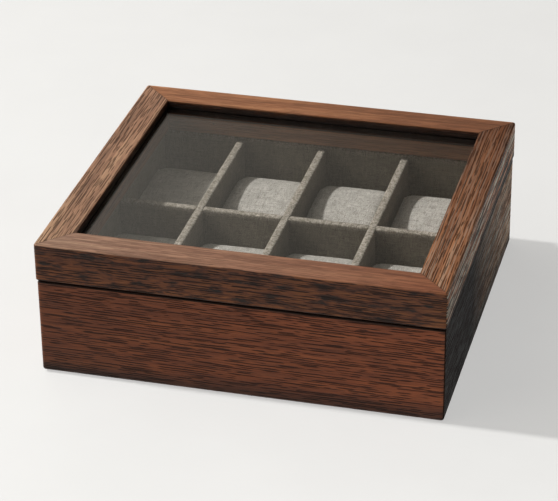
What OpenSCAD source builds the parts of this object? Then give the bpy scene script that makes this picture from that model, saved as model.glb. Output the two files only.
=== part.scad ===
// Watch box: a mitred wooden base with a glazed lid on two butt hinges,
// lined with linen and split by a lattice of wrapped dividers into eight
// compartments, each holding one loose watch pillow.
// Millimetres. Origin: centre of the underside. +X right, -Y front, +Z up.

/* [Overall size] */
// Width of the lid, side to side
lid_w = 280; // [220:1:350]
// Depth of the lid, front to back
lid_d = 257; // [210:1:320]
// Height of the base, from the table to its rim
base_h = 70.5; // [58:0.5:100]
// Height of the lid frame
lid_h = 27.5; // [20:0.5:40]
// Open gap between the base rim and the closed lid
seam_gap = 1; // [0.6:0.1:2]
// How far the lid stands out past the base all round
lid_overhang = 0.7; // [0:0.1:1.5]

/* [Base woodwork] */
// Thickness of the four base panels
wall_t = 14; // [11:0.5:18]
// Thickness of the bottom panel
bottom_t = 5; // [4:0.5:8]
// Width of the rebate that holds the bottom panel
rebate_w = 6; // [4:0.5:7]
// Thickness of the felt under the base
felt_t = 1; // [0.6:0.1:2]
// How far the felt stops short of the base's edges
felt_inset = 4; // [3:0.5:10]
// Radius of the outer upright corners
corner_r = 2; // [1:0.1:5]
// Roundover on the long outer edges of the base rim and the lid
edge_r = 1.2; // [0.5:0.1:2.5]
// Roundover along the foot of the base
foot_r = 2.2; // [1:0.1:4]

/* [Lid frame and glass] */
// Width of the lid rails
rail_w = 22.7; // [18:0.1:30]
// Depth from the top of the lid down to the glass
glass_drop = 5.8; // [3:0.1:9]
// Thickness of the glass
glass_t = 3; // [2:0.5:4]
// Width of the rabbet that takes the glass and its beads
rabbet_w = 6.5; // [4:0.1:8]
// Clearance round the edge of the glass
glass_gap = 0.5; // [0.2:0.1:1]
// How far the glazing beads stop above the underside of the lid
bead_inset = 1; // [0.6:0.1:3]
// Radius of the brads that hold the beads
brad_r = 0.6; // [0.4:0.1:0.8]
// Wood left between the tip of a brad and the outer face of its rail
brad_cover = 8.7; // [7.8:0.1:11]
// Distance from the corners of the lid opening to the brads
brad_inset = 35; // [20:1:60]

/* [Linen lining] */
// Thickness of the wrapped lining panels
lining_t = 3.5; // [2:0.1:5]
// How far the lining stops below the base rim
lining_drop = 0.5; // [0.2:0.1:3]
// Thickness of the wrapped floor pad
floor_t = 2.5; // [1.5:0.1:5]
// Clearance between lining pieces that are slid into place
slip_gap = 0.2; // [0.1:0.05:0.5]

/* [Dividers] */
// Thickness of the board inside a divider
board_t = 3; // [2:0.1:5]
// Thickness of the fabric on each face of a divider
cover_t = 1.5; // [0.8:0.1:2.5]
// How far the dividers stop below the base rim
divider_drop = 2.2; // [1:0.1:8]
// Clearance on each side of a halving slot
slot_gap = 0.1; // [0.05:0.05:0.3]

/* [Watch pillows] */
// Height of a pillow
pillow_h = 45.5; // [36:0.5:56]
// Clearance on each side of a pillow, side to side
pillow_side_gap = 1.2; // [0.6:0.1:3]
// Length of compartment that a pillow leaves free, front to back
pillow_slack = 20.3; // [14:0.1:40]
// Gap between the front pillows and the cross divider
front_row_gap = 0.8; // [0.8:0.1:6]
// Gap between the back pillows and the back lining
back_row_gap = 8.8; // [0.8:0.1:13]
// Gap under a pillow
pillow_lift = 0.3; // [0.2:0.1:1]
// Thickness of the pillow cover
pillow_skin = 1.2; // [0.8:0.1:2]

/* [Hinges] */
// Distance from the middle of the box to the middle of each hinge
hinge_x = 85; // [50:1:95]
// Length of a hinge along the back edge
leaf_l = 38; // [30:1:45]
// Depth of wood that a hinge leaf covers
leaf_w = 10; // [8:0.5:10.5]
// Thickness of a hinge leaf
leaf_t = 1.4; // [1:0.1:2]
// Outer radius of the hinge knuckles
knuckle_r = 2.5; // [2.1:0.1:3]
// Gap between the knuckles and the back of the lid
knuckle_gap = 0.2; // [0.1:0.1:0.6]
// Radius of the hinge pin
pin_r = 1.2; // [0.9:0.1:1.5]
// Radial clearance of the turning knuckles on the pin
pin_gap = 0.05; // [0.02:0.01:0.1]
// Radius of the hinge screws
screw_r = 1; // [0.8:0.1:1.3]
// Length of the hinge screws
screw_l = 9; // [6:0.5:10]

/* [Bumpers] */
// Radius of the two rubber bumpers at the front of the rim
bumper_r = 3; // [2:0.1:4]

/* [Hidden] */
$fn = 64;
cut = 1;

// Wood
base_w = lid_w - 2 * lid_overhang;
base_d = lid_d - 2 * lid_overhang;
cavity_w = base_w - 2 * wall_t;
cavity_d = base_d - 2 * wall_t;
bottom_top = felt_t + bottom_t;
lid_z = base_h + seam_gap;
opening_w = lid_w - 2 * rail_w;
opening_d = lid_d - 2 * rail_w;
glass_top = lid_z + lid_h - glass_drop;
glass_bottom = glass_top - glass_t;
bead_z = lid_z + bead_inset;
brad_l = rail_w - brad_cover;

// Lining and dividers
floor_top = bottom_top + floor_t;
inner_w = cavity_w - 2 * lining_t;
inner_d = cavity_d - 2 * lining_t;
divider_t = board_t + 2 * cover_t;
divider_top = base_h - divider_drop;
slot_w = divider_t + 2 * slot_gap;
halving_z = (floor_top + divider_top) / 2;
cell_w = (inner_w - 3 * divider_t) / 4;
cell_d = (inner_d - divider_t) / 2;
cell_pitch = cell_w + divider_t;
cross_length = inner_w - 2 * slip_gap;
long_length = inner_d - 2 * slip_gap;

// Pillows
pillow_w = cell_w - 2 * pillow_side_gap;
pillow_l = cell_d - pillow_slack;
pillow_z = floor_top + pillow_lift;
front_row_y = -divider_t / 2 - front_row_gap - pillow_l / 2;
back_row_y = inner_d / 2 - back_row_gap - pillow_l / 2;
pillow_power = 2.4;
pillow_steps = 36;

// Hinges
pin_y = lid_d / 2 + knuckle_gap + knuckle_r;
pin_z = base_h + seam_gap / 2;
leaf_gap = 0.2;
leaf_front_y = lid_d / 2 - lid_overhang - leaf_w;
leaf_fit = 0.1;
knuckles = 5;
knuckle_space = 0.15;
knuckle_l = (leaf_l - (knuckles - 1) * knuckle_space) / knuckles;
head_r = 1.9 * screw_r;
head_h = head_r - screw_r;
screw_pitch = leaf_l / 3;
screw_y = leaf_front_y + leaf_w / 2;
pin_head_r = 1.6 * pin_r;
pin_head_t = 0.9;
bumper_clearance = 0.05;

wood = "#6b4029";
linen = "#9a958b";
board_grey = "#8a8378";
felt = "#2e2b28";
brass = "#b08a45";
steel = "#a9abad";

// Middle of pillow column 1 to 4, counted from the left
function column_x(column) = (column - 2.5) * cell_pitch;

// A power between -1 and 1 that keeps its sign, for the pillow's outline
function signed_power(v, p) = sign(v) * pow(abs(v), p);

// ---------- shared shapes ----------

// A rectangle with rounded corners, centred on the origin
module rounded_rect(w, d, r) {
    square([w - 2 * r, d], center = true);
    square([w, d - 2 * r], center = true);
    for (x = [-1, 1], y = [-1, 1]) {
        translate([x * (w / 2 - r), y * (d / 2 - r)])
            circle(r);
    }
}

// Plan of one mitred strip whose outer face lies along y = 0
module mitred_plan(length, thickness) {
    polygon([
        [-length / 2, 0],
        [length / 2, 0],
        [length / 2 - thickness, thickness],
        [-length / 2 + thickness, thickness]
    ]);
}

// Section of a strip: x runs inwards from its outer face, y runs up
module strip_section(thickness, height, r_foot, r_top) {
    difference() {
        square([thickness, height]);
        corner_waste(r_foot);
        translate([0, height])
            mirror([0, 1])
                corner_waste(r_top);
    }
}

// What a roundover of radius r takes off a square corner at the origin
module corner_waste(r) {
    difference() {
        translate([-cut, -cut])
            square(r + cut);
        translate([r, r])
            circle(r);
    }
}

// One mitred strip along X, with its outer face at y = 0 and its foot at z = 0.
// The child is its section.
module mitred_strip(length, thickness, height, r) {
    intersection() {
        linear_extrude(height)
            intersection() {
                mitred_plan(length, thickness);
                translate([0, length / 2])
                    rounded_rect(length, length, r);
            }
        translate([-length / 2, 0, 0])
            rotate([90, 0, 90])
                linear_extrude(length)
                    children();
    }
}

// Puts a strip made for the front on the named side: 0 front, 1 right, 2 back, 3 left
module on_side(side, width, depth) {
    across = side % 2 == 0 ? depth : width;
    rotate([0, 0, 90 * side])
        translate([0, -across / 2, 0])
            children();
}

function side_length(side, width, depth) = side % 2 == 0 ? width : depth;

// ---------- base ----------

module base_panel(side) {
    height = base_h - felt_t;
    color(wood)
        difference() {
            translate([0, 0, felt_t])
                on_side(side, base_w, base_d)
                    mitred_strip(side_length(side, base_w, base_d), wall_t, height, corner_r)
                        base_panel_section(height);
            if (side == 2) {
                hinge_mortises(base_h - leaf_t - leaf_gap / 2 + seam_gap / 2, base_h + cut);
                base_screws();
            }
        }
}

module base_panel_section(height) {
    difference() {
        strip_section(wall_t, height, foot_r, edge_r);
        translate([wall_t - rebate_w, -cut])
            square([rebate_w + cut, bottom_t + cut]);
    }
}

module base_front_panel() {
    base_panel(0);
}

module base_right_panel() {
    base_panel(1);
}

module base_back_panel() {
    base_panel(2);
}

module base_left_panel() {
    base_panel(3);
}

module base_bottom_panel() {
    color(wood)
        translate([0, 0, felt_t + bottom_t / 2])
            cube([cavity_w + 2 * rebate_w, cavity_d + 2 * rebate_w, bottom_t], center = true);
}

module base_felt() {
    color(felt)
        linear_extrude(felt_t)
            rounded_rect(base_w - 2 * felt_inset, base_d - 2 * felt_inset, corner_r);
}

// ---------- linen lining ----------

module lining_floor() {
    color(linen)
        translate([0, 0, bottom_top + floor_t / 2])
            cube([cavity_w - 2 * slip_gap, cavity_d - 2 * slip_gap, floor_t], center = true);
}

// A lining panel standing on the floor pad
module lining_panel(w, d) {
    height = base_h - lining_drop - floor_top;
    color(linen)
        translate([0, 0, floor_top + height / 2])
            cube([w, d, height], center = true);
}

module lining_front() {
    translate([0, -(cavity_d - lining_t) / 2, 0])
        lining_panel(cavity_w, lining_t);
}

module lining_back() {
    translate([0, (cavity_d - lining_t) / 2, 0])
        lining_panel(cavity_w, lining_t);
}

module lining_left() {
    translate([-(cavity_w - lining_t) / 2, 0, 0])
        lining_panel(lining_t, inner_d - 2 * slip_gap);
}

module lining_right() {
    translate([(cavity_w - lining_t) / 2, 0, 0])
        lining_panel(lining_t, inner_d - 2 * slip_gap);
}

// ---------- dividers ----------

// A board that stands on the floor pad and runs along X
module divider_blank(length) {
    height = divider_top - cover_t - floor_top;
    translate([0, 0, floor_top + height / 2])
        cube([length, board_t, height], center = true);
}

// The wrap of a divider along X: both faces and a rounded top
module cover_blank(length) {
    r = divider_t / 2;
    difference() {
        translate([-length / 2, 0, floor_top])
            rotate([90, 0, 90])
                linear_extrude(length) {
                    translate([-r, 0])
                        square([divider_t, divider_top - floor_top - r]);
                    translate([0, divider_top - floor_top - r])
                        circle(r);
                }
        divider_blank(length + 2 * cut);
    }
}

// Halving slots of the divider that runs along X, open at the top
module cross_slots() {
    for (x = [-cell_pitch, 0, cell_pitch]) {
        translate([x - slot_w / 2, -divider_t, halving_z])
            cube([slot_w, 2 * divider_t, divider_top]);
    }
}

// Halving slot of a divider that crosses it, open at the bottom
module long_slot() {
    translate([-slot_w / 2, -divider_t, 0])
        cube([slot_w, 2 * divider_t, halving_z + slot_gap]);
}

module cross_divider_board() {
    color(board_grey)
        difference() {
            divider_blank(cross_length);
            cross_slots();
        }
}

module cross_divider_cover() {
    color(linen)
        difference() {
            cover_blank(cross_length);
            cross_slots();
        }
}

module long_divider_board(x) {
    color(board_grey)
        translate([x, 0, 0])
            rotate([0, 0, 90])
                difference() {
                    divider_blank(long_length);
                    long_slot();
                }
}

module long_divider_cover(x) {
    color(linen)
        translate([x, 0, 0])
            rotate([0, 0, 90])
                difference() {
                    cover_blank(long_length);
                    long_slot();
                }
}

// ---------- pillows ----------

// Outline of a pillow seen from the side, made smaller all round by inset
module pillow_outline(inset) {
    half_l = pillow_l / 2 - inset;
    half_h = pillow_h / 2 - inset;
    polygon([
        for (i = [0 : pillow_steps - 1])
            let (a = 360 * i / pillow_steps)
                [
                    half_l * signed_power(cos(a), 2 / pillow_power),
                    half_h * signed_power(sin(a), 2 / pillow_power)
                ]
    ]);
}

module pillow_solid(inset) {
    width = pillow_w - 2 * inset;
    translate([-width / 2, 0, pillow_z + pillow_h / 2])
        rotate([90, 0, 90])
            linear_extrude(width)
                pillow_outline(inset);
}

module pillow_cover(column, row_y) {
    color(linen)
        translate([column_x(column), row_y, 0])
            difference() {
                pillow_solid(0);
                pillow_solid(pillow_skin);
            }
}

module pillow_core(column, row_y) {
    color("white")
        translate([column_x(column), row_y, 0])
            pillow_solid(pillow_skin);
}

// ---------- lid ----------

module lid_rail(side) {
    color(wood)
        difference() {
            translate([0, 0, lid_z])
                on_side(side, lid_w, lid_d)
                    mitred_strip(side_length(side, lid_w, lid_d), rail_w, lid_h, corner_r)
                        lid_rail_section();
            brads(side);
            if (side == 2) {
                hinge_mortises(lid_z - cut, pin_z + leaf_gap / 2 + leaf_t);
                lid_screws();
            }
        }
}

module lid_rail_section() {
    difference() {
        strip_section(rail_w, lid_h, edge_r, edge_r);
        translate([rail_w - rabbet_w, -cut])
            square([rabbet_w + cut, lid_h - glass_drop + cut]);
    }
}

module lid_front_rail() {
    lid_rail(0);
}

module lid_right_rail() {
    lid_rail(1);
}

module lid_back_rail() {
    lid_rail(2);
}

module lid_left_rail() {
    lid_rail(3);
}

module lid_glass() {
    edge = rabbet_w - glass_gap;
    color("lightcyan", 0.35)
        translate([0, 0, glass_bottom + glass_t / 2])
            cube([opening_w + 2 * edge, opening_d + 2 * edge, glass_t], center = true);
}

module glass_bead(side) {
    w = opening_w + 2 * rabbet_w;
    d = opening_d + 2 * rabbet_w;
    color(wood)
        difference() {
            translate([0, 0, bead_z])
                on_side(side, w, d)
                    linear_extrude(glass_bottom - bead_z)
                        mitred_plan(side_length(side, w, d), rabbet_w);
            brads(side);
        }
}

module glass_bead_front() {
    glass_bead(0);
}

module glass_bead_right() {
    glass_bead(1);
}

module glass_bead_back() {
    glass_bead(2);
}

module glass_bead_left() {
    glass_bead(3);
}

// The two brads driven through the bead on one side
module brads(side) {
    reach = side_length(side, opening_w, opening_d) / 2 - brad_inset;
    on_side(side, opening_w, opening_d)
        for (x = [-reach, reach]) {
            translate([x, 0, (bead_z + glass_bottom) / 2])
                rotate([90, 0, 0])
                    cylinder(h = brad_l, r = brad_r);
        }
}

module bead_brads() {
    color(steel)
        for (side = [0 : 3]) {
            brads(side);
        }
}

// ---------- hinges ----------

// Shallow recesses for both leaves in one rail, between two heights
module hinge_mortises(z_low, z_high) {
    for (x = [-hinge_x, hinge_x]) {
        translate([x - leaf_l / 2 - leaf_fit, leaf_front_y, z_low])
            cube([leaf_l + 2 * leaf_fit, leaf_w + rail_w, z_high - z_low]);
    }
}

// Start of knuckle i, counted from the left end of the hinge
function knuckle_x(i) = -leaf_l / 2 + i * (knuckle_l + knuckle_space);

// A leaf lying in the XY plane with its pin axis at y = 0, z = 0 and its plate
// below the axis. It owns the knuckles whose number has the given parity.
module hinge_leaf(parity, bore_r) {
    plate_top = -leaf_gap / 2;
    plate_l = pin_y - leaf_front_y;
    difference() {
        union() {
            translate([-leaf_l / 2, -plate_l, plate_top - leaf_t])
                cube([leaf_l, plate_l - knuckle_r - knuckle_gap, leaf_t]);
            for (i = [parity : 2 : knuckles - 1]) {
                translate([knuckle_x(i), -plate_l, plate_top - leaf_t])
                    cube([knuckle_l, plate_l, leaf_t]);
                translate([knuckle_x(i), 0, 0])
                    rotate([0, 90, 0])
                        cylinder(h = knuckle_l, r = knuckle_r);
            }
        }
        translate([-leaf_l / 2 - cut, 0, 0])
            rotate([0, 90, 0])
                cylinder(h = leaf_l + 2 * cut, r = bore_r);
        translate([0, -plate_l + leaf_w / 2, plate_top])
            screw_row();
    }
}

// Three countersunk screws in a row, heads up, tops of the heads at z = 0
module screw_row() {
    for (x = [-screw_pitch, 0, screw_pitch]) {
        translate([x, 0, -head_h]) {
            cylinder(h = head_h, r1 = screw_r, r2 = head_r);
            translate([0, 0, head_h - screw_l])
                cylinder(h = screw_l - head_h, r = screw_r);
        }
    }
}

module base_screws() {
    for (x = [-hinge_x, hinge_x]) {
        translate([x, screw_y, pin_z - leaf_gap / 2])
            screw_row();
    }
}

module lid_screws() {
    for (x = [-hinge_x, hinge_x]) {
        translate([x, screw_y, pin_z + leaf_gap / 2])
            mirror([0, 0, 1])
                screw_row();
    }
}

module base_leaf(x) {
    color(brass)
        translate([x, pin_y, pin_z])
            hinge_leaf(0, pin_r);
}

module lid_leaf(x) {
    color(brass)
        translate([x, pin_y, pin_z])
            mirror([0, 0, 1])
                hinge_leaf(1, pin_r + pin_gap);
}

module hinge_pin(x) {
    color(brass)
        translate([x - leaf_l / 2, pin_y, pin_z])
            rotate([0, 90, 0]) {
                cylinder(h = leaf_l, r = pin_r);
                translate([0, 0, -pin_head_t])
                    cylinder(h = pin_head_t, r = pin_head_r);
                translate([0, 0, leaf_l])
                    cylinder(h = pin_head_t, r = pin_head_r);
            }
}

module hinge_base_screws() {
    color(steel)
        base_screws();
}

module hinge_lid_screws() {
    color(steel)
        lid_screws();
}

// ---------- bumpers ----------

module lid_bumpers() {
    color("gainsboro")
        for (x = [-1, 1]) {
            translate([x * (base_w - wall_t) / 2, -(base_d - wall_t) / 2, base_h])
                cylinder(h = seam_gap - bumper_clearance, r = bumper_r);
        }
}

// ---------- nodes ----------

base_front_panel();
base_back_panel();
base_left_panel();
base_right_panel();
base_bottom_panel();
base_felt();
lining_front();
lining_back();
lining_left();
lining_right();
lining_floor();
cross_divider_board();
cross_divider_cover();
long_divider_board(-cell_pitch);  // left_divider_board
long_divider_cover(-cell_pitch);  // left_divider_cover
long_divider_board(0);  // middle_divider_board
long_divider_cover(0);  // middle_divider_cover
long_divider_board(cell_pitch);  // right_divider_board
long_divider_cover(cell_pitch);  // right_divider_cover
base_leaf(-hinge_x);  // hinge_left_base_leaf
base_leaf(hinge_x);  // hinge_right_base_leaf
hinge_pin(-hinge_x);  // hinge_left_pin
hinge_pin(hinge_x);  // hinge_right_pin
hinge_base_screws();
lid_bumpers();
lid_front_rail();
lid_back_rail();
lid_left_rail();
lid_right_rail();
lid_glass();
glass_bead_front();
glass_bead_back();
glass_bead_left();
glass_bead_right();
bead_brads();
lid_leaf(-hinge_x);  // hinge_left_lid_leaf
lid_leaf(hinge_x);  // hinge_right_lid_leaf
hinge_lid_screws();
pillow_cover(1, back_row_y);  // pillow_back_1_cover
pillow_core(1, back_row_y);  // pillow_back_1_core
pillow_cover(2, back_row_y);  // pillow_back_2_cover
pillow_core(2, back_row_y);  // pillow_back_2_core
pillow_cover(3, back_row_y);  // pillow_back_3_cover
pillow_core(3, back_row_y);  // pillow_back_3_core
pillow_cover(4, back_row_y);  // pillow_back_4_cover
pillow_core(4, back_row_y);  // pillow_back_4_core
pillow_cover(1, front_row_y);  // pillow_front_1_cover
pillow_core(1, front_row_y);  // pillow_front_1_core
pillow_cover(2, front_row_y);  // pillow_front_2_cover
pillow_core(2, front_row_y);  // pillow_front_2_core
pillow_cover(3, front_row_y);  // pillow_front_3_cover
pillow_core(3, front_row_y);  // pillow_front_3_core
pillow_cover(4, front_row_y);  // pillow_front_4_cover
pillow_core(4, front_row_y);  // pillow_front_4_core
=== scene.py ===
"""Looks of the wooden watch box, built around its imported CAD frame. Metres, row frame."""

import math

import bmesh
import bpy
from mathutils import Euler, Matrix, Vector, noise


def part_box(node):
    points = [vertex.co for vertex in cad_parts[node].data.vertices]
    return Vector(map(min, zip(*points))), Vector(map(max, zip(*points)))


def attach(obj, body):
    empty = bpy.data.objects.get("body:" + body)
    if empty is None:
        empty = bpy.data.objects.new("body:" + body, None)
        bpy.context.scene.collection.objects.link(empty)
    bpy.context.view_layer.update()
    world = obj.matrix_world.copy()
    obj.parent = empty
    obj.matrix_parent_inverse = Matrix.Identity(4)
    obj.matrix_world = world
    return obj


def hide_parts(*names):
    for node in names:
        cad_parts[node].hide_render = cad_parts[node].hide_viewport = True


MM = 0.001
SIDES = ("front", "right", "back", "left")
COLUMNS = (1, 2, 3, 4)
ROWS = ("back", "front")

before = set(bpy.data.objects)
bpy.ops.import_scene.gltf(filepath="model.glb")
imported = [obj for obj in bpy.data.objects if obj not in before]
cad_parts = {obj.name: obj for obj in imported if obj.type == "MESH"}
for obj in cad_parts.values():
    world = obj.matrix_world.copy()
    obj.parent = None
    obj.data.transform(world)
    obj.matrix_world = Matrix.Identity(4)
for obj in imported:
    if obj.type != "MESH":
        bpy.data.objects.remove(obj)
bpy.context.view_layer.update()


# ---------- camera ----------

AZIMUTH = math.radians(14.86)
ELEVATION = math.radians(28.93)
ROLL = math.radians(-0.68)
DISTANCE = 1.702
LENS_MM = 156.7
AIM = Vector((-1.7, -12.9, 50.0)) * MM


def make_camera():
    back = Vector((
        math.sin(AZIMUTH) * math.cos(ELEVATION),
        -math.cos(AZIMUTH) * math.cos(ELEVATION),
        math.sin(ELEVATION),
    ))
    right = Vector((0, 0, 1)).cross(back).normalized()
    up = back.cross(right)
    turned_right = right * math.cos(ROLL) + up * math.sin(ROLL)
    turned_up = up * math.cos(ROLL) - right * math.sin(ROLL)
    data = bpy.data.cameras.new("camera")
    data.lens = LENS_MM
    data.sensor_width = 36
    camera = bpy.data.objects.new("camera", data)
    place = Matrix((turned_right, turned_up, back)).transposed().to_4x4()
    place.translation = AIM + back * DISTANCE
    camera.matrix_world = place
    bpy.context.scene.collection.objects.link(camera)
    bpy.context.scene.camera = camera


# ---------- node helpers ----------

class Tree:
    """A short way to write the nodes of a material or a world."""

    def __init__(self, owner, output="OutputMaterial"):
        self.owner = owner
        owner.use_nodes = True
        self.tree = owner.node_tree
        self.tree.nodes.clear()
        self.output = self.node(output)

    def node(self, kind, inputs=None, **settings):
        """A new node; inputs maps a socket's name or number to a socket or a constant."""
        made = self.tree.nodes.new("ShaderNode" + kind)
        for key, value in settings.items():
            setattr(made, key, value)
        for key, value in (inputs or {}).items():
            self.feed(made.inputs[key], value)
        return made

    def feed(self, socket, value):
        """Links a socket, or sets a constant; a colour of three numbers becomes opaque."""
        if isinstance(value, bpy.types.NodeSocket):
            self.tree.links.new(value, socket)
        elif socket.type == "RGBA":
            socket.default_value = (*value, 1)
        elif value is not None:
            socket.default_value = value

    def math(self, operation, a, b=None, clamp=False):
        return self.node("Math", {0: a, 1: b}, operation=operation, use_clamp=clamp).outputs[0]

    def times(self, a, b):
        return self.math("MULTIPLY", a, b)

    def plus(self, a, b):
        return self.math("ADD", a, b)

    def vector(self, operation, a, b=None):
        return self.node("VectorMath", {0: a, 1: b}, operation=operation).outputs[0]

    def place(self):
        return self.node("TexCoord").outputs["Object"]

    def in_mm(self, shift=(0, 0, 0)):
        """The place on the piece in millimetres, moved by shift."""
        return self.mapping(self.place(), (1 / MM,) * 3, shift)

    def attribute(self, name, output="Fac"):
        return self.node("Attribute", attribute_name=name).outputs[output]

    def mapping(self, vector, scale, location=(0, 0, 0)):
        return self.node("Mapping", {"Vector": vector, "Scale": scale, "Location": location}).outputs[0]

    def split(self, vector):
        """The x, y and z of a vector."""
        return self.node("SeparateXYZ", {0: vector}).outputs

    def joined(self, x, y, z):
        return self.node("CombineXYZ", {0: x, 1: y, 2: z}).outputs[0]

    def noise(self, vector, scale=1.0, detail=2.0, roughness=0.5, output="Fac"):
        inputs = {"Vector": vector, "Scale": scale, "Detail": detail, "Roughness": roughness}
        return self.node("TexNoise", inputs).outputs[output]

    def speckle(self, vector, size, detail, roughness=0.6):
        """Noise whose grains are as large as size: one number, or one for each axis."""
        sizes = size if isinstance(size, tuple) else (size,) * 3
        return self.noise(self.vector("MULTIPLY", vector, [1 / v for v in sizes]), 1, detail, roughness)

    def ramp(self, value, low, high, to_low=0.0, to_high=1.0, smooth=True):
        inputs = {"Value": value, "From Min": low, "From Max": high, "To Min": to_low, "To Max": to_high}
        kind = "SMOOTHSTEP" if smooth else "LINEAR"
        return self.node("MapRange", inputs, interpolation_type=kind).outputs[0]

    def colors(self, value, stops):
        made = self.node("ValToRGB", {0: value})
        band = made.color_ramp
        while len(band.elements) < len(stops):
            band.elements.new(0.5)
        for element, (position, color) in zip(band.elements, stops):
            element.position = position
            element.color = (*color, 1)
        return made.outputs[0]

    def mix(self, factor, a, b, blend="MIX"):
        inputs = {0: factor, 6: a, 7: b}
        made = self.node("Mix", inputs, data_type="RGBA", blend_type=blend, clamp_factor=True)
        return made.outputs[2]

    def bump(self, height, distance, strength=1.0):
        return self.node("Bump", {"Strength": strength, "Distance": distance, "Height": height}).outputs[0]

    def principled(self, color, roughness, normal=None, **constants):
        made = self.node("BsdfPrincipled", {"Base Color": color, "Roughness": roughness, "Normal": normal})
        for key, value in constants.items():
            made.inputs[key.replace("_", " ")].default_value = value
        return made.outputs[0]

    def finish(self, shader):
        self.tree.links.new(shader, self.output.inputs["Surface"])
        return self.owner


def assign(piece, material):
    piece.data.materials.clear()
    piece.data.materials.append(material)


# ---------- oak ----------

class Oak:
    """How the oak differs from piece to piece. A tone is a pair of colours, one for each end of the piece,
    which multiply the stain. The tones paint in light and shade: upper faces lighter and greyer as painted
    sheen, and sides darkened or greyed along the piece as painted shade and painted reflection."""

    def __init__(self, seed, top, side, waviness=0.3, distress=0.2, grey=0.0, pores=(0.35, 0.85),
                 gloss=0.25, painted_light_span=(-125, 125)):
        self.seed = seed
        # Tones of the upper face and of the others; the upper face's tone paints it lighter, as painted light
        # and sheen
        self.top = top
        self.side = side
        # How far the grain bends
        self.waviness = waviness
        # How much black stain and rubbed orange shows
        self.distress = distress
        # How much painted grey sheen shows on the sides, in streaks along the grain
        self.grey = grey
        # How dark the pores are on the upper face and on the others
        self.pores = pores
        # Strength of the highlights
        self.gloss = gloss
        # Where the painted light and shade of the tone starts and stops changing along the piece, in
        # millimetres
        self.painted_light_span = painted_light_span


def even(level):
    """A grey tone, the same at both ends."""
    return (level,) * 3, (level,) * 3


OAK_DEEP = (0.016, 0.006, 0.0035)
OAK_BROWN = (0.125, 0.038, 0.0175)
OAK_RED = (0.190, 0.058, 0.0260)
OAK_LIGHT = (0.265, 0.090, 0.0400)
OAK_ORANGE = (0.360, 0.130, 0.0400)
OAK_BLACK = (0.022, 0.013, 0.009)
OAK_SHEEN_GREY = (0.190, 0.160, 0.130)
OAK_JOINT_AND_SHADE = (0.008, 0.0045, 0.003)


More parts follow.
